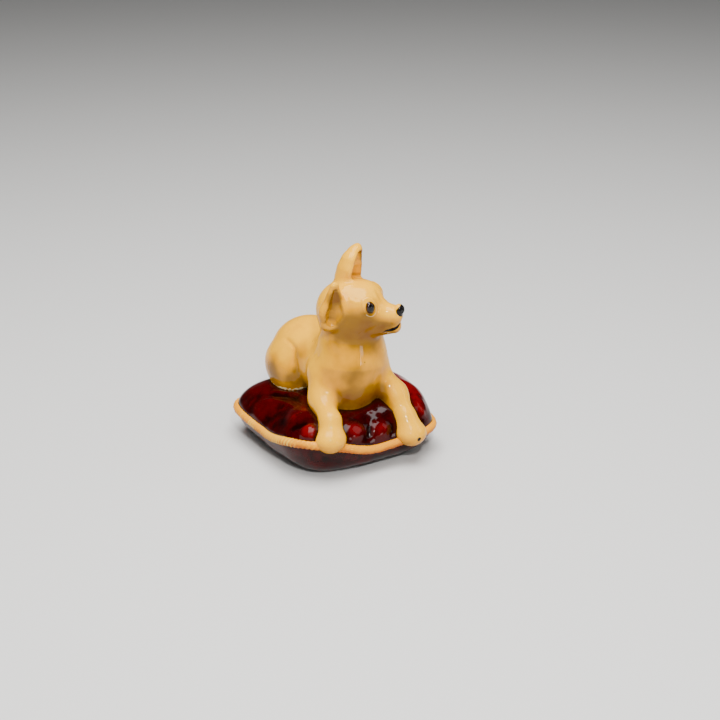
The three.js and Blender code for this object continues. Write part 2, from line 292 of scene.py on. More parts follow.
# the dog
dog = {
    "unit": 0.5,  # one unit of the places and radii below
    "seat": (0, 0, 20.5),
    "forelegDiameter": 6.8,
    "pawWidth": 9.8,
    "headPlace": (-5, -26, 63),
    "headTurn": 40,
    "headLift": 12,
    "headLean": 10,
    "voxel": 0.5,
    "skirt": 0.35,  # how much of the cushion's skin stays round the dog's foot
    "tuck": 2.0,  # how far the dog's open foot runs on inside the cushion
    "tuckSteps": 3,
    "fineReach": 19,  # the head's skin is twice as fine this far from its middle
    "finerReach": 3.8,  # and finer again this far from an eye, the nose or the mouth
    "glazeWave": 0.01,
    "footFlare": 0.22,  # glaze gathered where the dog meets the cushion
    # how amber the glaze is: drifts, hollows, painted shade where the skin faces down, and where it starts
    "broadDrift": 0.25,
    "fineDrift": 0.12,
    "hollowTone": 0.6,
    "hollowDepth": 1.4,
    "undersideTone": 0.8,
    "startTone": -0.1,
}

body = PartFrame(dog["seat"], np.eye(3))
head = body.within(dog["headPlace"], dog["headTurn"], dog["headLift"], dog["headLean"])
leftEar = head.within((11, 1, 6), -14, -20, -8)
rightEar = head.within((-18, 6, -4), -50, -10, -14)


def bodyForms():
    return [
        (body.egg((-5, 26, 16), (25, 26, 24)), 6),
        (body.limb((-3, -6, 18), (-4, 18, 17), 23, 22), 8),
        (body.blade((1, -23, 46), (-1, -23, 26), 18, 24, (-0.24, 1, 0), 0.82), 10),
        (body.blade((-1, -23, 26), (-3, -22, 13), 24, 24, (-0.24, 1, 0), 0.78), 8),
        (body.blade((-3, -22, 42), (-3, -25, 58), 18, 17, (-0.2, 1, 0), 0.9), 8),
        (body.egg((-22.5, 25, 9), (12, 22, 18)), 3),
        (body.egg((12.5, 24, 9), (12, 22, 18)), 3),
        (body.limb((2, 46, 8), (23, 41, 6), 5.6, 5.4), 4),
        (body.limb((23, 41, 6), (32, 24, 5), 5.4, 5), 3),
        (body.limb((32, 24, 5), (31, 4, 4.5), 5, 3.4), 3),
    ]


def forelegForms(shoulder, elbow, wrist, paw):
    top, bend = body.at(shoulder), body.at(elbow)
    thick = dog["forelegDiameter"] / 2
    toes = np.array([0.5, 0.41, 0.31]) * dog["pawWidth"]
    return [
        (limb(top, bend, thick * 1.22, thick * 1.1), 7),
        (limb(bend, wrist, thick * 1.08, thick * 0.97), 6),
        (limb(wrist, paw, thick * 0.97, thick), 4),
        (egg(paw + (0, 0, 0.35), toes, np.eye(3)), 7),
    ]


# stations are (x, z, radius) from the root of an ear to its tip
leftEarShape = {
    "stations": [
        (-3.8, 2, 8.6),
        (-3.8, 12, 8.7),
        (-3.2, 18, 8.2),
        (-1.9, 23.5, 6.9),
        (1.2, 28.8, 4.5),
        (3.1, 31.6, 2),
    ],
    "flat": 1,
    "rim": 1.3,
    "forward": 1.1,
    "hollowed": (6, 12, 18, 23.5, 27.5),
}
rightEarShape = {
    "stations": [(-2.5, 5, 6.5), (-0.6, 12, 9.1), (0, 30, 3)],
    "flat": 0.7,
    "rim": 1.8,
    "forward": 0.97,
    "hollowed": (8, 12, 27),
}


def chainForm(place, stations, forward, flat, soft):
    forms = []
    for (lowX, lowZ, lowR), (x, z, r) in zip(stations[:-1], stations[1:]):
        low, high = (lowX, -forward * lowR, lowZ), (x, -forward * r, z)
        forms.append(place.blade(low, high, lowR, r, (0, 1, 0), flat))

    def depth(points):
        whole = forms[0](points)
        for form in forms[1:]:
            whole = softMin(whole, form(points), soft * dog["unit"])
        return whole

    return depth


def earForm(place, shape):
    x, z, r = np.array(shape["stations"], float).T
    rim = shape["rim"] / dog["unit"]
    inner = [(np.interp(h, z, x), h, max(np.interp(h, z, r) - rim, 0.8)) for h in shape["hollowed"]]
    shell = chainForm(place, shape["stations"], 0, shape["flat"], 2)
    hollow = chainForm(place, inner, shape["forward"] * shape["flat"], shape["flat"], 0.8)
    return (lambda points: softMax(shell(points), -hollow(points), 3.2 * dog["unit"]), 3)


def headForms():
    return [
        (head.egg((0, 0, 0), (19, 21, 19)), 6),
        (head.egg((0, -12, 4), (15, 11, 12)), 6),
        (head.limb((0, -14, -5), (0, -28.6, -7.5), 10.5, 6.3), 5),
        (head.limb((0, -6, -13), (0, -27.2, -15.8), 9, 4.5), 4),
        (head.egg((0, -33.6, -4.2), (3.6, 3.4, 3.6)), 1),
        (head.egg((-10, -17.6, 6.5), (4.3, 4.3, 4.3)), 4),
        (head.egg((8.4, -16.4, 5.4), (3.9, 3.9, 3.9)), 4),
        earForm(leftEar, leftEarShape),
        earForm(rightEar, rightEarShape),
    ]


rightWrist = crownPoint(np.radians(236.5), 0.86) + (0, 0, 1.2)
rightPaw = seamPoint(np.radians(237), 0.96) + (0, 0, 1.6)
leftWrist = crownPoint(np.radians(296), 0.91) + (0, 0, -0.6)
leftPaw = seamPoint(np.radians(294), 1.02) + (0, 0, 1.6)
dogForms = (
    bodyForms()
    + forelegForms((-22, -20, 20), (-26, -27, 5), rightWrist, rightPaw)
    + forelegForms((15, -26, 16), (23, -38, 2), leftWrist, leftPaw)
    + headForms()
)


def dogDepth(points):
    depth = None
    for form, soft in dogForms:
        near = form(points)
        depth = near if depth is None else softMin(depth, near, soft * dog["unit"])
    return depth


def slopeOf(field, points, step=0.02):
    slope = np.empty_like(points)
    for axis in range(3):
        shift = np.zeros(3)
        shift[axis] = step
        slope[:, axis] = (field(points + shift) - field(points - shift)) / (2 * step)
    return slope


def settle(field, points, rounds=3, reach=0.6):
    for _ in range(rounds):
        slope = slopeOf(field, points)
        steep = np.maximum(np.einsum("ij,ij->i", slope, slope), 1e-3)
        move = np.clip(field(points) / steep, -reach, reach)
        points = points - slope * move[:, None]
    return points


def selectPoints(mesh, chosen):
    mesh.vertices.foreach_set("select", np.asarray(chosen, bool))
    mesh.update()


def startDog():
    # the casting's own skin, evened out, without the cushion
    mesh = casting.data.copy()
    piece = bpy.data.objects.new("dog", mesh)
    bpy.context.scene.collection.objects.link(piece)
    mesh.materials.clear()
    makeActive(piece)
    bpy.ops.object.mode_set(mode="EDIT")
    bpy.ops.mesh.select_all(action="SELECT")
    bpy.ops.mesh.remove_doubles(threshold=0.00001)
    bpy.ops.object.mode_set(mode="OBJECT")
    remesh = piece.modifiers.new("even_skin", "REMESH")
    remesh.mode = "VOXEL"
    remesh.voxel_size = dog["voxel"] * mm
    bpy.ops.object.modifier_apply(modifier=remesh.name)
    mesh = piece.data
    away = dogDepth(readPoints(mesh)) > dog["skirt"]
    cutAway(piece, away)
    closeFoot(piece)
    return piece


def cutAway(piece, chosen):
    makeActive(piece)
    bpy.context.tool_settings.mesh_select_mode = (True, False, False)
    bpy.ops.object.mode_set(mode="EDIT")
    bpy.ops.mesh.select_all(action="DESELECT")
    bpy.ops.object.mode_set(mode="OBJECT")
    selectPoints(piece.data, chosen)
    bpy.ops.object.mode_set(mode="EDIT")
    bpy.ops.mesh.delete(type="VERT")
    bpy.ops.mesh.select_all(action="SELECT")
    bpy.ops.mesh.delete_loose()
    bpy.ops.object.mode_set(mode="OBJECT")


def closeFoot(piece):
    makeActive(piece)
    bpy.ops.object.mode_set(mode="EDIT")
    bpy.ops.mesh.select_all(action="DESELECT")
    bpy.ops.mesh.select_non_manifold()
    for _ in range(dog["tuckSteps"]):
        # the open foot runs in towards the middle of the cushion
        bpy.ops.mesh.extrude_region_move()
        bpy.ops.object.mode_set(mode="OBJECT")
        points = readPoints(piece.data)
        edge = np.empty(len(points), bool)
        piece.data.vertices.foreach_get("select", edge)
        inward = np.array([0, 0, cushion["seamHeight"]]) - points[edge]
        inward /= np.linalg.norm(inward, axis=1, keepdims=True)
        points[edge] += inward * dog["tuck"] / dog["tuckSteps"]
        writePoints(piece.data, points)
        bpy.ops.object.mode_set(mode="EDIT")
    bpy.ops.mesh.edge_face_add()
    bpy.ops.mesh.quads_convert_to_tris()
    bpy.ops.mesh.select_all(action="SELECT")
    bpy.ops.mesh.normals_make_consistent(inside=False)
    bpy.ops.object.mode_set(mode="OBJECT")


def subdivideNear(piece, centres, reach):
    makeActive(piece)
    mesh = piece.data
    points = readPoints(mesh)
    near = np.zeros(len(points), bool)
    for centre in centres:
        near |= np.linalg.norm(points - centre, axis=1) < reach
    bpy.context.tool_settings.mesh_select_mode = (True, False, False)
    bpy.ops.object.mode_set(mode="EDIT")
    bpy.ops.mesh.select_all(action="DESELECT")
    bpy.ops.object.mode_set(mode="OBJECT")
    selectPoints(mesh, near)
    bpy.ops.object.mode_set(mode="EDIT")
    bpy.ops.mesh.subdivide(number_cuts=1)
    bpy.ops.object.mode_set(mode="OBJECT")


def settleSkin(piece, centres=None, reach=0):
    mesh = piece.data
    points = readPoints(mesh)
    near = np.abs(dogDepth(points)) < 0.9
    if centres is not None:
        close = np.zeros(len(points), bool)
        for centre in centres:
            close |= np.linalg.norm(points - centre, axis=1) < reach
        near &= close
    points[near] = settle(dogDepth, points[near])
    writePoints(mesh, points)


def evenSkin(piece, rounds):
    makeActive(piece)
    for _ in range(rounds):
        bpy.ops.object.mode_set(mode="EDIT")
        bpy.ops.mesh.select_all(action="SELECT")
        bpy.ops.mesh.vertices_smooth(factor=0.5, repeat=2)
        bpy.ops.object.mode_set(mode="OBJECT")
        settleSkin(piece)


# what is drawn on or pressed into a skin
def softNoise(points, size, seed=0):
    shift = Vector((seed * 17.3, seed * 5.1, seed * 11.7))
    return np.array([noise.noise(Vector(p) / size + shift) for p in points])


def awayFrom(points, line):
    # how far each point is from a line of points, and how far along the line
    line = np.array(line, float)
    best, along = np.full(len(points), 1e9), np.zeros(len(points))
    for i, (a, b) in enumerate(zip(line[:-1], line[1:])):
        run = b - a
        t = np.clip((points - a) @ run / (run @ run), 0, 1)
        off = np.linalg.norm(points - a - t[:, None] * run, axis=1)
        closer = off < best
        best[closer], along[closer] = off[closer], (i + t[closer]) / (len(line) - 1)
    return best, along


def strokeRise(points, line, width, rise):
    away, along = awayFrom(points, line)
    taper = np.clip(np.minimum(along, 1 - along) * 5, 0.15, 1)
    return rise * taper * np.exp(-((away / width) ** 2))


def bothSides(line):
    return [line, [(-x, y, z) for x, y, z in line]]


def smoothStep(value, low, high):
    t = np.clip((value - low) / (high - low), 0, 1)
    return t * t * (3 - 2 * t)


def heightOverCushion(points):
    angle = np.arctan2(points[:, 1], points[:, 0])
    radius, _ = seamToward(angle)
    out = np.clip(np.hypot(points[:, 0], points[:, 1]) / radius, 0, 1)
    return points[:, 2] - crownPoint(angle, out)[:, 2]


face = {
    "eyePlace": (13.2, -21.4, 4.7),
    "farEyePlace": (15, -18.4, 5.2),
    "eyeWidth": 1.62,  # half the painted eye
    "eyeHeight": 2.25,
    "eyeTilt": -8,
    "eyeBulge": 0.6,
    "lidGroove": 0.2,
    "lidRidge": 0.22,
    "nosePlace": (0, -34.6, -4.9),
    "noseRadii": (2.2, 2.1, 1.95),
    "nostril": (2.4, -36.6, -5.2),
    "mouth": [
        (0, -33, -13.4),
        (-1.9, -32, -13.9),
        (-3.3, -30.3, -14.8),
        (-4.4, -28.1, -15.5),
        (-4.8, -25.7, -15.9),
        (-5.3, -23.1, -16),
        (-5.6, -21, -16.3),
    ],
    "lowerLip": [(-2.4, -30.7, -16.3), (-3.7, -28.9, -17), (-4, -26.3, -17.5), (-4.6, -23.4, -17.8)],
    "mouthWidth": 0.34,
    "mouthDepth": 0.42,
    "cleft": [(0, -37, -6), (0, -35, -9.5), (0, -33.4, -13)],
    "cleftWidth": 0.3,
    "cleftDepth": 0.2,
    "nostrilWidth": 0.42,
    "nostrilDepth": 0.3,
    "pupil": 0.66,  # share of the eye
    "lidAt": 1.36,  # the ridge round the eye, as a share of the eye
    "paleLidAt": 1.4,
    "paleLid": 0.62,
    "paleLip": 0.6,
}
# strokes pressed into the skin or raised on it: width, rise and line
headStrokes = [
    (0.5, 0.16, [(-15.3, -6, 11.2), (-13.1, -8.7, 12.6), (-13.8, -11.9, 10.9), (-13.5, -16.7, 9.6)]),
    (0.5, 0.16, [(-5.2, -24, 1.2), (-6.8, -23.6, -2), (-8.3, -22.7, -5.4)]),
    (0.55, 0.12, [(-5.6, -24.4, -0.1), (-4.6, -28, -1.4), (-3.1, -31.4, -2.6)]),
    (0.6, 0.12, [(-7.1, -2.7, 17.4), (-4, -5, 18.2), (-2.7, -10, 17.7)]),
    (0.6, 0.14, [(-4.4, -21, 10), (-3.8, -22.5, 7.5), (-3.4, -24, 3)]),
    (0.9, -0.16, [(0, -20, 12), (0, -25, 4), (0, -29, 0)]),
    (0.35, 0.14, face["lowerLip"]),
]
bodyStrokes = [
    # the haunch's front edge, and the fold lines ahead of it
    (
        0.8,
        -0.6,
        [
            (-26.2, 24, 31), (-25.6, 15, 30.4), (-25.2, 9.6, 27.5),
            (-27.4, 5.4, 16.4), (-27.6, 5.8, 4),
        ],
    ),
    (0.5, -0.3, [(-25, 6.6, 29), (-26, 3.6, 16), (-25, 5.2, 1)]),
    (0.5, -0.26, [(-21.6, 1.7, 31), (-23.6, -1, 16), (-21.5, 2.6, 1)]),
    (0.8, -0.35, [(24, 24, 26), (25, 12, 24), (24.6, 7, 12), (24.6, 7, 3)]),
    # behind the shoulders
    (0.9, -0.4, [(-22.4, -27, 44), (-24, -21.8, 34.5), (-27, -20, 26), (-29, -19, 17), (-31, -18, 8)]),
    (0.9, -0.3, [(20, -25, 38), (21, -19, 28), (21, -17, 18)]),
    # tendons of the neck and the breast
    (0.9, 0.3, [(-22.6, -30.5, 51.7), (-21.4, -30.8, 42.8), (-17.5, -36, 29.7)]),
    (0.9, -0.22, [(-20.5, -33, 50), (-18, -35, 42), (-14, -37.5, 32)]),
    (1.2, 0.2, [(-1, -39, 36), (-1.5, -40.5, 24), (-2, -42, 12)]),
]
airbrushAndShade = [
    # place, radius and strength of each cloud of amber: airbrushed glaze, and painted shade under the head,
    # on the throat, the chest and the low haunch
    (body, (-34, 24, 10), 10, 0.95),
    (body, (-28, 7, 10), 7, 0.8),
    (body, (-25, 3, 24), 9, 0.55),
    (body, (-24, -35, 27), 7, 0.3),
    (body, (-12, -43, 25), 9, 0.8),
    (body, (2, -43, 24), 8, 0.5),
    (body, (-15, -41, 7), 9, 1.1),
    (body, (-1, -40, 4), 10, 1.15),
    (body, (12, -38, 6), 8, 1.0),
    (body, (-12, -39, 50), 9, 1.0),
    (body, (0, -41, 48), 9, 1.1),
    (body, (5, -40, 41), 10, 1.0),
    (body, (-22, -34, 40), 8, 0.45),
    (body, (12, -39, 50), 9, 1.0),
    (body, (31, 22, 10), 10, 1.0),
    (body, (0, 50, 10), 10, 0.6),
    (head, (-17, -9, 2), 7, 0.85),
    (head, (-14, -15, -4), 7, 1.0),
    (head, (-15, -8, -12), 9, 1.0),
    (head, (-8, -20, -15), 8, 0.9),
    (head, (17, -9, 2), 7, 0.85),
    (head, (14, -15, -4), 7, 1.0),
    (head, (15, -8, -12), 9, 1.0),
    (head, (8, -20, -15), 8, 0.9),
    (rightEar, (-1, -1, 22), 5.5, 1.7),
    (rightEar, (-1.8, -1, 10), 5, 0.6),
    (leftEar, (3.5, -5, 27), 4, 0.9),
]
pawChip = {"place": (12.5, -32.2, 10.2), "radius": 0.72}
specks = [
    # tiny kiln specks: place on the body and radius in millimetres
    ((-18, -2.1, 35.2), 0.26),
    ((-3.2, -43.5, 31.7), 0.3),
    ((-24.5, -38.5, 21), 0.16),
]


def eyeMeasures(points, side):
    # across and up the eye, and out from the skin, in millimetres
    x, y, z = face["eyePlace"] if side < 0 else face["farEyePlace"]
    middle = settle(dogDepth, head.at((side * x, y, z))[None], 4)[0]
    outward = slopeOf(dogDepth, middle[None])[0]
    outward /= np.linalg.norm(outward)
    across = np.cross(head.turn[:, 2], outward)
    across /= np.linalg.norm(across)
    up = np.cross(outward, across)
    tilt = math.radians(face["eyeTilt"] * side)
    u, v = across * math.cos(tilt) + up * math.sin(tilt), up * math.cos(tilt) - across * math.sin(tilt)
    off = points - middle
    return off @ u, off @ v, off @ outward


rightLegGap = limb(rightWrist, rightPaw, dog["forelegDiameter"] / 2, dog["pawWidth"] / 2)
leftLegGap = limb(leftWrist, leftPaw, dog["forelegDiameter"] / 2, dog["pawWidth"] / 2)


def detailDog(piece):
    mesh = piece.data
    points = readPoints(mesh)
    normals = slopeOf(dogDepth, points)
    normals /= np.maximum(np.linalg.norm(normals, axis=1, keepdims=True), 1e-6)
    skin = np.abs(dogDepth(points)) < 0.5
    rise = dog["glazeWave"] * softNoise(points, 3.6) + 0.2 * dog["glazeWave"] * softNoise(points, 1.3, 1)
    for place, strokes in ((head, headStrokes), (body, bodyStrokes)):
        for width, height, line in strokes:
            for drawn in bothSides(line) if place is head else [line]:
                rise += strokeRise(points, [place.at(p) for p in drawn], width, height)
    # the mouth
    mouthGap = np.full(len(points), 1e9)
    for line in bothSides(face["mouth"]):
        line = [head.at(p) for p in line]
        rise += strokeRise(points, line, face["mouthWidth"], -face["mouthDepth"])
        away, along = awayFrom(points, line)
        mouthGap = np.minimum(mouthGap, away - (0.14 + 0.4 * np.sin(math.pi * np.clip(along * 1.05, 0, 1))))
    # the eyes
    eyeGap, pupilGap = np.full(len(points), 1e9), np.full(len(points), 1e9)
    lowerLid = np.zeros(len(points))
    for side in (-1, 1):
        across, up, out = eyeMeasures(points, side)
        ring = np.sqrt((across / face["eyeWidth"]) ** 2 + (up / face["eyeHeight"]) ** 2)
        ring = np.where(np.abs(out) < 2.5, ring, 9)
        rise += face["eyeBulge"] * np.clip(1 - ring**2, 0, 1)
        rise -= face["lidGroove"] * np.exp(-(((ring - 1.04) / 0.11) ** 2))
        rise += face["lidRidge"] * np.exp(-(((ring - face["lidAt"]) / 0.15) ** 2))
        eyeGap = np.minimum(eyeGap, (ring - 1) * face["eyeWidth"])
        pupilGap = np.minimum(pupilGap, (ring - face["pupil"]) * face["eyeWidth"])
        ridge = np.exp(-(((ring - face["paleLidAt"]) / 0.12) ** 2)) * smoothStep(-up, 0, 1.6)
        lowerLid = np.maximum(lowerLid, face["paleLid"] * ridge)
    # the nose
    nose = head.at(face["nosePlace"])
    away = (points - nose) @ head.turn / np.array(face["noseRadii"])
    noseGap = (np.linalg.norm(away, axis=1) - 1) * face["noseRadii"][1]
    for side in (-1, 1):
        x, y, z = face["nostril"]
        nostril = head.at((side * x, y, z))
        away = np.linalg.norm(points - nostril, axis=1) / face["nostrilWidth"]
        rise -= face["nostrilDepth"] * np.exp(-(away**2))
    cleft = [head.at(p) for p in face["cleft"]]
    rise += strokeRise(points, cleft, face["cleftWidth"], -face["cleftDepth"])
    noseGap = np.minimum(noseGap, awayFrom(points, cleft)[0] - 0.22)
    # glaze gathered at the foot
    height = heightOverCushion(points)
    paws = np.min([limbGap(points) for limbGap in (rightLegGap, leftLegGap)], axis=0)
    besidePaws = smoothStep(paws, 1.5, 4)
    foot = np.clip(1 - height / 1.2, 0, 1) ** 2 * (height > -1) * besidePaws
    rise += foot * dog["footFlare"] * (1 + 0.8 * softNoise(points, 1.1, 2))
    points = points + normals * (rise * skin)[:, None]
    writePoints(mesh, points)
    # tones: drifts, hollows, painted shade where the skin faces down, and clouds of airbrushed amber and
    # painted shade
    hollow = 1 - dogDepth(points + normals * dog["hollowDepth"]) / dog["hollowDepth"]
    tone = dog["broadDrift"] * softNoise(points, 7, 3) + dog["fineDrift"] * softNoise(points, 2.2, 4)
    tone += dog["hollowTone"] * np.clip(hollow, -0.3, 1) + dog["startTone"]
    # painted shade: more amber where the skin faces down
    tone += dog["undersideTone"] * np.clip(0.25 - normals[:, 2], 0, 1)
    untouched = np.ones(len(points))
    # clouds of airbrushed amber, and of painted shade under the head, throat and chest
    for place, centre, radius, strength in airbrushAndShade:
        away = np.linalg.norm(place.inside(points) - np.array(centre), axis=1) / radius
        cloud = np.exp(-(away**2))
        untouched *= 1 - min(strength, 1) * cloud
        tone += max(strength - 1, 0) * cloud
    tone += 1.0 - untouched
    giveValues(mesh, "amberTone", np.clip(tone, 0, 1.5))
    giveValues(mesh, "eyeGap", eyeGap)
    speckGap = np.full(len(points), 1e9)
    for place, radius in specks:
        speckGap = np.minimum(speckGap, np.linalg.norm(points - body.at(place), axis=1) - radius)
    chip = np.linalg.norm(points - np.array(pawChip["place"]), axis=1) - pawChip["radius"]
    giveValues(mesh, "inkGap", np.min([noseGap, mouthGap, pupilGap, speckGap, chip], axis=0))
    besideHaunch = besidePaws * smoothStep(points[:, 1], -4, 0) * smoothStep(-points[:, 0], 6, 9)
    pale = np.clip(1.5 - height / 0.8, 0, 1) * besideHaunch * (0.7 + 1.2 * softNoise(points, 0.9, 5))
    for line in bothSides(face["lowerLip"]):
        away, _ = awayFrom(points, [head.at(p) for p in line])
        pale = np.maximum(pale, face["paleLip"] * np.exp(-((away / 0.4) ** 2)))
    pale = np.maximum(pale, lowerLid)
    giveValues(mesh, "palePaint", pale)


# the finished cushion
cushionLumps = [
    # swellings of the crown: place seen from above, radius, rise
    ((-7.05, -25), 3.0, 0.7),
    ((1.64, -25.6), 3.0, 0.7),
    ((-22.4, -21.4), 2.7, 0.8),
    ((-20.3, -11.1), 4.5, 0.45),
    ((18.3, -22.4), 4, 0.5),
    ((-24, 5), 5, 0.4),
    ((21, -8), 10, 1.5),
    ((20, 14), 6, 0.5),
    ((0, 24), 6, 0.4),
    ((-18, 18), 6, 0.4),
]
cushionCreases = [
    # pulls in the cloth: line seen from above, width, rise
    ([(-1.3, -24.1), (-2.3, -25.7), (-2.9, -26.6)], 0.8, -0.6),
    ([(-11, -23), (-11.4, -24.8), (-11.7, -25.8)], 0.8, -0.3),
    ([(6.5, -25), (6.2, -26), (6, -26.8)], 0.8, -0.3),
    ([(-25, -15), (-23, -17.5), (-20.5, -19)], 0.9, -0.5),
    ([(-19, 11), (-16.5, 6.5), (-14, 2), (-13.5, -3), (-14.5, -8)], 0.7, 0.3),
    ([(-20.8, 11), (-18.4, 6), (-16.2, 1), (-15.7, -4), (-16.4, -9)], 0.7, -0.3),
    ([(-22.6, 9), (-20.4, 4.6), (-18.6, -2), (-18.6, -7)], 0.7, 0.25),
    ([(17, -20), (18.5, -23.4), (19, -25)], 0.9, 0.3),
]


def onCrown(place):
    x, y = place
    angle = math.atan2(y, x)
    radius, _ = seamToward(angle)
    return crownPoint(angle, min(math.hypot(x, y) / radius, 1))


def makeCushion():
    deselectAll()
    segments, rings = cushion["segments"], cushion["rings"]
    bpy.ops.mesh.primitive_uv_sphere_add(segments=segments, ring_count=rings, radius=mm)
    piece = bpy.context.object
    piece.name = "cushion"
    mesh = piece.data
    ball = readPoints(mesh)
    angle = np.arctan2(ball[:, 1], ball[:, 0])
    out = np.clip(np.hypot(ball[:, 0], ball[:, 1]), 0, 1)
    above = ball[:, 2] >= 0
    points = np.where(above[:, None], crownPoint(angle, out), bellyPoint(angle, out))
    writePoints(mesh, points)
    normals = np.array([v.normal for v in mesh.vertices])
    rise = cushion["hills"] * softNoise(points, 6.5, 6)
    # gathers that run in from the seam
    ringPoints = np.stack([np.cos(angle) * 9, np.sin(angle) * 9, np.zeros(len(angle))], -1)
    gather = softNoise(ringPoints, 1.1, 8)
    nearSeam = np.where(above, smoothStep(out, 0.55, 0.9), 0.6 * smoothStep(out, 0.8, 0.97))
    rise += cushion["gathers"] * gather * nearSeam
    for place, radius, height in cushionLumps:
        away = np.linalg.norm(points - onCrown(place), axis=1) / radius
        rise += height * np.exp(-(away**4))
    for line, width, height in cushionCreases:
        rise += strokeRise(points, [onCrown(p) for p in line], width, height)
    grounded = (~above) & (out < 0.95)
    rise = np.where(grounded, rise * smoothStep(out, cushion["footing"], 0.95), rise)
    points = points + normals * rise[:, None]
    points[:, 2] = np.maximum(points[:, 2], 0)
    writePoints(mesh, points)
    giveValues(mesh, "puff", rise)
    giveValues(mesh, "dogGap", dogDepth(points))
    makeActive(piece)
    bpy.ops.object.shade_smooth()
    return piece


# the rope along the seam
rope = {
    "diameter": 2.9,
    "around": 1380,
    "sides": 16,
    "strands": 3,
    "turns": 138,
    "groove": 0.3,
    "wornGroove": 0.05,  # where the glaze has filled the strands
    "clearestAt": 190,  # degrees round the seam, where the strands still show
    "lumpiness": 0.13,
    # the strands' cream is a painted highlight on their tops
    "strandTone": (0.2, 0.8),  # where worn, and added where clear
}


def makeRope():
    deselectAll()
    bpy.ops.mesh.primitive_circle_add(
        vertices=rope["sides"], radius=mm, location=(10 * mm, 0, 0), rotation=(math.pi / 2, 0, 0)
    )
    piece = bpy.context.object
    piece.name = "rope_piping"
    bpy.ops.object.transform_apply()
    bpy.ops.object.mode_set(mode="EDIT")
    bpy.ops.mesh.select_all(action="SELECT")
    bpy.ops.mesh.spin(steps=rope["around"], angle=2 * math.pi, center=(0, 0, 0), axis=(0, 0, 1))
    bpy.ops.mesh.select_all(action="SELECT")
    bpy.ops.mesh.remove_doubles(threshold=0.000001)
    bpy.ops.object.mode_set(mode="OBJECT")
    mesh = piece.data
    ring = readPoints(mesh)
    angle = np.arctan2(ring[:, 1], ring[:, 0])
    turn = np.arctan2(ring[:, 2], np.hypot(ring[:, 0], ring[:, 1]) - 10)
    step = 0.004
    along = seamPoint(angle + step) - seamPoint(angle - step)
    along /= np.linalg.norm(along, axis=1, keepdims=True)
    outward = np.cross(along, (0, 0, 1))
    outward /= np.linalg.norm(outward, axis=1, keepdims=True)
    up = np.cross(outward, along)
    lobe = np.abs(np.sin((rope["strands"] * turn - rope["turns"] * angle) / 2))
    shown = 0.5 + 0.5 * np.cos(angle - math.radians(rope["clearestAt"]))
    groove = rope["wornGroove"] + (rope["groove"] - rope["wornGroove"]) * shown**5
    groove = groove * (1 + 0.6 * softNoise(ring, 2.3, 10))
    radius = rope["diameter"] / 2 - groove * (1 - lobe)
    radius += rope["lumpiness"] * softNoise(ring, 0.7, 11)
    points = seamPoint(angle) + outward * (radius * np.cos(turn))[:, None]
    points += up * (radius * np.sin(turn))[:, None]
    writePoints(mesh, points)
    worn, added = rope["strandTone"]
    # painted highlight: cream on the strands' tops
    giveValues(mesh, "strandHighlight", lobe * (worn + added * shown**6))
    # painted shade: orange grows toward the rope's lower side
    giveValues(mesh, "undersideShade", np.clip(0.5 - np.sin(turn), 0, 1.3))
    makeActive(piece)
    bpy.ops.object.mode_set(mode="EDIT")
    bpy.ops.mesh.select_all(action="SELECT")
    bpy.ops.mesh.normals_make_consistent(inside=False)
    bpy.ops.object.mode_set(mode="OBJECT")
    bpy.ops.object.shade_smooth()
    return piece


# glazes
def addGroup(name, inputs, outputs):
    group = bpy.data.node_groups.new(name, "ShaderNodeTree")
    for label, start in inputs:
        socket = group.interface.new_socket(label, in_out="INPUT", socket_type="NodeSocketFloat")
        socket.default_value = start
    for label, kind in outputs:
        group.interface.new_socket(label, in_out="OUTPUT", socket_type=kind)
    return group, group.nodes.new("NodeGroupInput"), group.nodes.new("NodeGroupOutput")


def makeDriftGroup():
    # cloudy change of tone over a glazed surface, -1 to 1
    inputs, outputs = [("Size", 4), ("Strength", 0.5)], [("Drift", "NodeSocketFloat")]
    group, given, result = addGroup("glaze_drift", inputs, outputs)
    nodes, links = group.nodes, group.links
    place = nodes.new("ShaderNodeTexCoord")
    cloud = nodes.new("ShaderNodeTexNoise")
    cloud.inputs["Detail"].default_value = 3
    span = nodes.new("ShaderNodeMath")
    span.operation = "DIVIDE"
    span.inputs[0].default_value = 1000
    centre = nodes.new("ShaderNodeMath")
    centre.operation = "SUBTRACT"
    centre.inputs[1].default_value = 0.5
    scale = nodes.new("ShaderNodeMath")
    scale.operation = "MULTIPLY"
    links.new(place.outputs["Object"], cloud.inputs["Vector"])
    links.new(given.outputs["Size"], span.inputs[1])
    links.new(span.outputs[0], cloud.inputs["Scale"])
    links.new(cloud.outputs["Fac"], centre.inputs[0])
    links.new(centre.outputs[0], scale.inputs[0])
    links.new(given.outputs["Strength"], scale.inputs[1])
    links.new(scale.outputs[0], result.inputs["Drift"])
    return group


def makeEdgeGroup():
    # a painted edge: 1 inside a signed distance in millimetres, 0 outside
    inputs, outputs = [("Gap", 0), ("Blur", 0.05)], [("Inside", "NodeSocketFloat")]
    group, given, result = addGroup("painted_edge", inputs, outputs)
    nodes, links = group.nodes, group.links
    minus = nodes.new("ShaderNodeMath")
    minus.operation = "MULTIPLY"
    minus.inputs[1].default_value = -1
    step = nodes.new("ShaderNodeMapRange")
    step.interpolation_type = "SMOOTHSTEP"
    links.new(given.outputs["Blur"], minus.inputs[0])
    links.new(given.outputs["Gap"], step.inputs["Value"])
    links.new(minus.outputs[0], step.inputs["From Min"])
    links.new(given.outputs["Blur"], step.inputs["From Max"])
    step.inputs["To Min"].default_value = 1
    step.inputs["To Max"].default_value = 0
    links.new(step.outputs["Result"], result.inputs["Inside"])
    return group


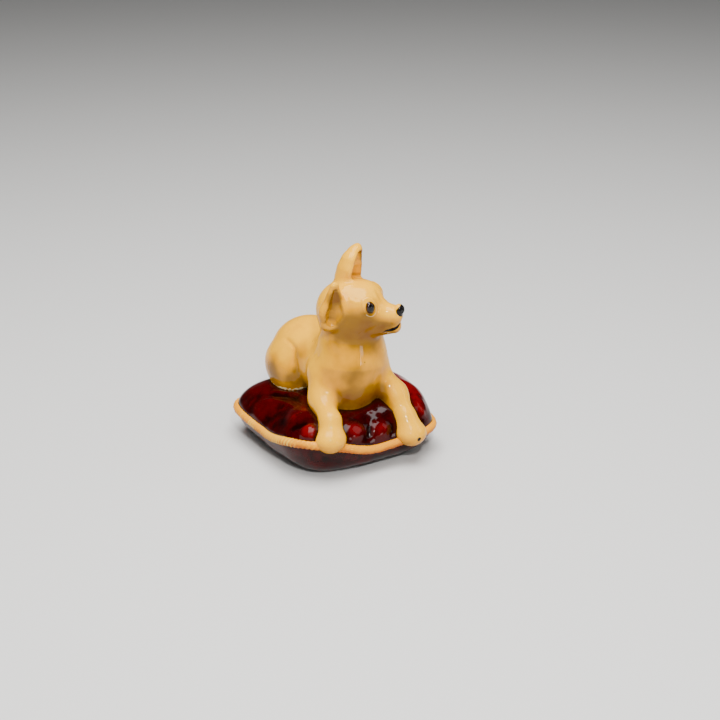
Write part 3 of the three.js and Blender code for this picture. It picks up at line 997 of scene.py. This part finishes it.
class Glaze:
    def __init__(self, name, finish):
        self.material = bpy.data.materials.new(name)
        self.material.use_nodes = True
        self.nodes, self.links = self.material.node_tree.nodes, self.material.node_tree.links
        self.shader = self.nodes["Principled BSDF"]
        self.shader.inputs["Roughness"].default_value = finish["roughness"]
        self.shader.inputs["Specular IOR Level"].default_value = 0.05
        self.shader.inputs["Coat Weight"].default_value = finish["coat"]
        self.shader.inputs["Coat IOR"].default_value = 1.5
        self.shader.inputs["Coat Roughness"].default_value = finish["coatRoughness"]
        self.colour = None

    def value(self, name):
        node = self.nodes.new("ShaderNodeAttribute")
        node.attribute_name = name
        return node.outputs["Fac"]

    def math(self, operation, a, b):
        node = self.nodes.new("ShaderNodeMath")
        node.operation = operation
        for i, v in enumerate((a, b)):
            if isinstance(v, (int, float)):
                node.inputs[i].default_value = v
            else:
                self.links.new(v, node.inputs[i])
        return node.outputs[0]

    def spread(self, value, low, high):
        node = self.nodes.new("ShaderNodeMapRange")
        node.interpolation_type = "SMOOTHSTEP"
        self.links.new(value, node.inputs["Value"])
        node.inputs["From Min"].default_value, node.inputs["From Max"].default_value = low, high
        return node.outputs["Result"]

    def group(self, group, **values):
        node = self.nodes.new("ShaderNodeGroup")
        node.node_tree = group
        for name, v in values.items():
            if isinstance(v, (int, float)):
                node.inputs[name].default_value = v
            else:
                self.links.new(v, node.inputs[name])
        return node.outputs[0]

    def ripple(self, size, height):
        # the slight unevenness of thick glaze
        place = self.nodes.new("ShaderNodeTexCoord")
        wave = self.nodes.new("ShaderNodeTexNoise")
        wave.inputs["Scale"].default_value = 1000 / size
        wave.inputs["Detail"].default_value = 2
        bump = self.nodes.new("ShaderNodeBump")
        bump.inputs["Strength"].default_value = 0.6
        bump.inputs["Distance"].default_value = height * mm
        self.links.new(place.outputs["Object"], wave.inputs["Vector"])
        self.links.new(wave.outputs["Fac"], bump.inputs["Height"])
        self.links.new(bump.outputs["Normal"], self.shader.inputs["Normal"])
        self.links.new(bump.outputs["Normal"], self.shader.inputs["Coat Normal"])
        rough = self.shader.inputs["Roughness"].default_value
        spread = self.nodes.new("ShaderNodeMapRange")
        spread.inputs["To Min"].default_value = rough * 0.7
        spread.inputs["To Max"].default_value = rough * 1.3
        self.links.new(wave.outputs["Fac"], spread.inputs["Value"])
        self.links.new(spread.outputs["Result"], self.shader.inputs["Roughness"])

    def paint(self, colour, share):
        mix = self.nodes.new("ShaderNodeMix")
        mix.data_type = "RGBA"
        if isinstance(share, (int, float)):
            mix.inputs["Factor"].default_value = share
        else:
            self.links.new(share, mix.inputs["Factor"])
        if isinstance(self.colour, tuple):
            mix.inputs["A"].default_value = self.colour
        else:
            self.links.new(self.colour, mix.inputs["A"])
        mix.inputs["B"].default_value = colour
        self.colour = mix.outputs["Result"]

    def finish(self, piece):
        self.links.new(self.colour, self.shader.inputs["Base Color"])
        piece.data.materials.clear()
        piece.data.materials.append(self.material)


def hexColour(text):
    # a colour as it looks on a screen, made linear for the shader
    values = [int(text[i : i + 2], 16) / 255 for i in (0, 2, 4)]
    return tuple(v / 12.92 if v < 0.04045 else ((v + 0.055) / 1.055) ** 2.4 for v in values) + (1,)


dogGlaze = {
    "cream": hexColour("f5b000"),
    "golden": hexColour("d99200"),
    "amber": hexColour("865a00"),
    "deep": hexColour("6e3e00"),
    "pale": hexColour("f3e2ae"),
    "eye": hexColour("2c1000"),
    "ink": hexColour("070505"),
    "roughness": 0.3,
    "coat": 0.36,
    "eyeCoat": 0.6,
    "coatRoughness": 0.05,
    # tones between which each colour comes in
    "goldenTone": (-0.15, 0.45),
    "amberTone": (0.3, 1.1),
    "deepTone": (1.1, 1.7),
    "paleTone": (0.35, 0.8),
    "brushEdge": 0.07,
    "ripple": (3.5, 0.008),  # size and height in millimetres
}
cushionGlaze = {
    "dark": hexColour("120000"),
    "red": hexColour("3c0001"),
    "bright": hexColour("680003"),
    "brown": hexColour("2a0b02"),
    "roughness": 0.15,
    "coat": 0.22,
    "coatRoughness": 0.04,
    # how far the cloth swells where each colour comes in: darker where the glaze pools in the hollows, and
    # brighter on the swellings as painted light
    "redPuff": (-0.35, 0.35),
    "brightPuff": (0.35, 1.0),
    "brownReach": (1.6, 0.2),  # millimetres from the dog
    "ripple": (3, 0.006),
}
ropeGlaze = {
    "cream": hexColour("f4c440"),
    "yellow": hexColour("e89600"),
    "orange": hexColour("b86000"),
    "dirt": hexColour("2a1408"),
    "roughness": 0.35,
    "coat": 0.2,
    "coatRoughness": 0.06,
    "orangeTone": (0.1, 1.1),
    "creamTone": (0.55, 1.1),
    "dirtTone": (0.27, 0.34),
    "ripple": (1.2, 0.02),
}


def glazeDog(piece):
    glaze = Glaze("amber_glaze", dogGlaze)
    tone = glaze.math("ADD", glaze.value("amberTone"), glaze.group(drift, Size=5, Strength=0.5))
    # golden, amber and deep come in with the tone, which holds painted shade as well as the glaze's own
    # drifts
    glaze.colour = dogGlaze["cream"]
    glaze.paint(dogGlaze["golden"], glaze.spread(tone, *dogGlaze["goldenTone"]))
    glaze.paint(dogGlaze["amber"], glaze.spread(tone, *dogGlaze["amberTone"]))
    glaze.paint(dogGlaze["deep"], glaze.spread(tone, *dogGlaze["deepTone"]))
    glaze.paint(dogGlaze["pale"], glaze.spread(glaze.value("palePaint"), *dogGlaze["paleTone"]))
    eye = glaze.group(edge, Gap=glaze.value("eyeGap"), Blur=dogGlaze["brushEdge"])
    ink = glaze.group(edge, Gap=glaze.value("inkGap"), Blur=dogGlaze["brushEdge"])
    glaze.paint(dogGlaze["eye"], eye)
    glaze.paint(dogGlaze["ink"], ink)
    glossy = glaze.math("MULTIPLY", eye, dogGlaze["eyeCoat"] - dogGlaze["coat"])
    glaze.links.new(glaze.math("ADD", glossy, dogGlaze["coat"]), glaze.shader.inputs["Coat Weight"])
    glaze.ripple(*dogGlaze["ripple"])
    glaze.finish(piece)


def glazeCushion(piece):
    glaze = Glaze("red_glaze", cushionGlaze)
    puff = glaze.math("ADD", glaze.value("puff"), glaze.group(drift, Size=3, Strength=1.2))
    # dark to bright red with the swelling: pooled glaze in the hollows, and painted light on the swellings
    glaze.colour = cushionGlaze["dark"]
    glaze.paint(cushionGlaze["red"], glaze.spread(puff, *cushionGlaze["redPuff"]))
    glaze.paint(cushionGlaze["bright"], glaze.spread(puff, *cushionGlaze["brightPuff"]))
    glaze.paint(cushionGlaze["brown"], glaze.spread(glaze.value("dogGap"), *cushionGlaze["brownReach"]))
    glaze.ripple(*cushionGlaze["ripple"])
    glaze.finish(piece)


def glazeRope(piece):
    glaze = Glaze("rope_glaze", ropeGlaze)
    patch = glaze.group(drift, Size=5, Strength=1.6)
    glaze.colour = ropeGlaze["yellow"]
    # orange in patches, and as painted shade on the rope's lower side
    low = glaze.math("ADD", patch, glaze.value("undersideShade"))
    glaze.paint(ropeGlaze["orange"], glaze.spread(low, *ropeGlaze["orangeTone"]))
    # cream as a painted highlight on the strands' tops
    high = glaze.math("SUBTRACT", glaze.value("strandHighlight"), glaze.math("MULTIPLY", patch, 0.8))
    glaze.paint(ropeGlaze["cream"], glaze.spread(high, *ropeGlaze["creamTone"]))
    dirt = glaze.group(drift, Size=0.8, Strength=1)
    glaze.paint(ropeGlaze["dirt"], glaze.spread(dirt, *ropeGlaze["dirtTone"]))
    glaze.ripple(*ropeGlaze["ripple"])
    glaze.finish(piece)


addCamera()
addFloor()
for name, place, size, power in softboxes:
    addSoftbox(name, place, size, power)
addRoomLight()
print("camera, floor and lights are up")

drift, edge = makeDriftGroup(), makeEdgeGroup()

dogPiece = startDog()
evenSkin(dogPiece, 3)
subdivideNear(dogPiece, [head.at((0, -6, 14))], dog["fineReach"])
finePlaces = [head.at((side * face["eyePlace"][0], *face["eyePlace"][1:])) for side in (-1, 1)]
finePlaces += [head.at((0, -35, -6)), head.at((-4, -28, -15)), head.at((4, -28, -15))]
subdivideNear(dogPiece, finePlaces, dog["finerReach"])
settleSkin(dogPiece, [head.at((0, -6, 14))], dog["fineReach"] + 2)
detailDog(dogPiece)
makeActive(dogPiece)
bpy.ops.object.shade_smooth()
glazeDog(dogPiece)
print("dog:", len(dogPiece.data.vertices), "points")

cushionPiece = makeCushion()
glazeCushion(cushionPiece)
print("cushion:", len(cushionPiece.data.vertices), "points")

ropePiece = makeRope()
glazeRope(ropePiece)
print("rope piping:", len(ropePiece.data.vertices), "points")

for piece in (dogPiece, cushionPiece, ropePiece):
    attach(piece, "root")
    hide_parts("chihuahua_on_cushion")
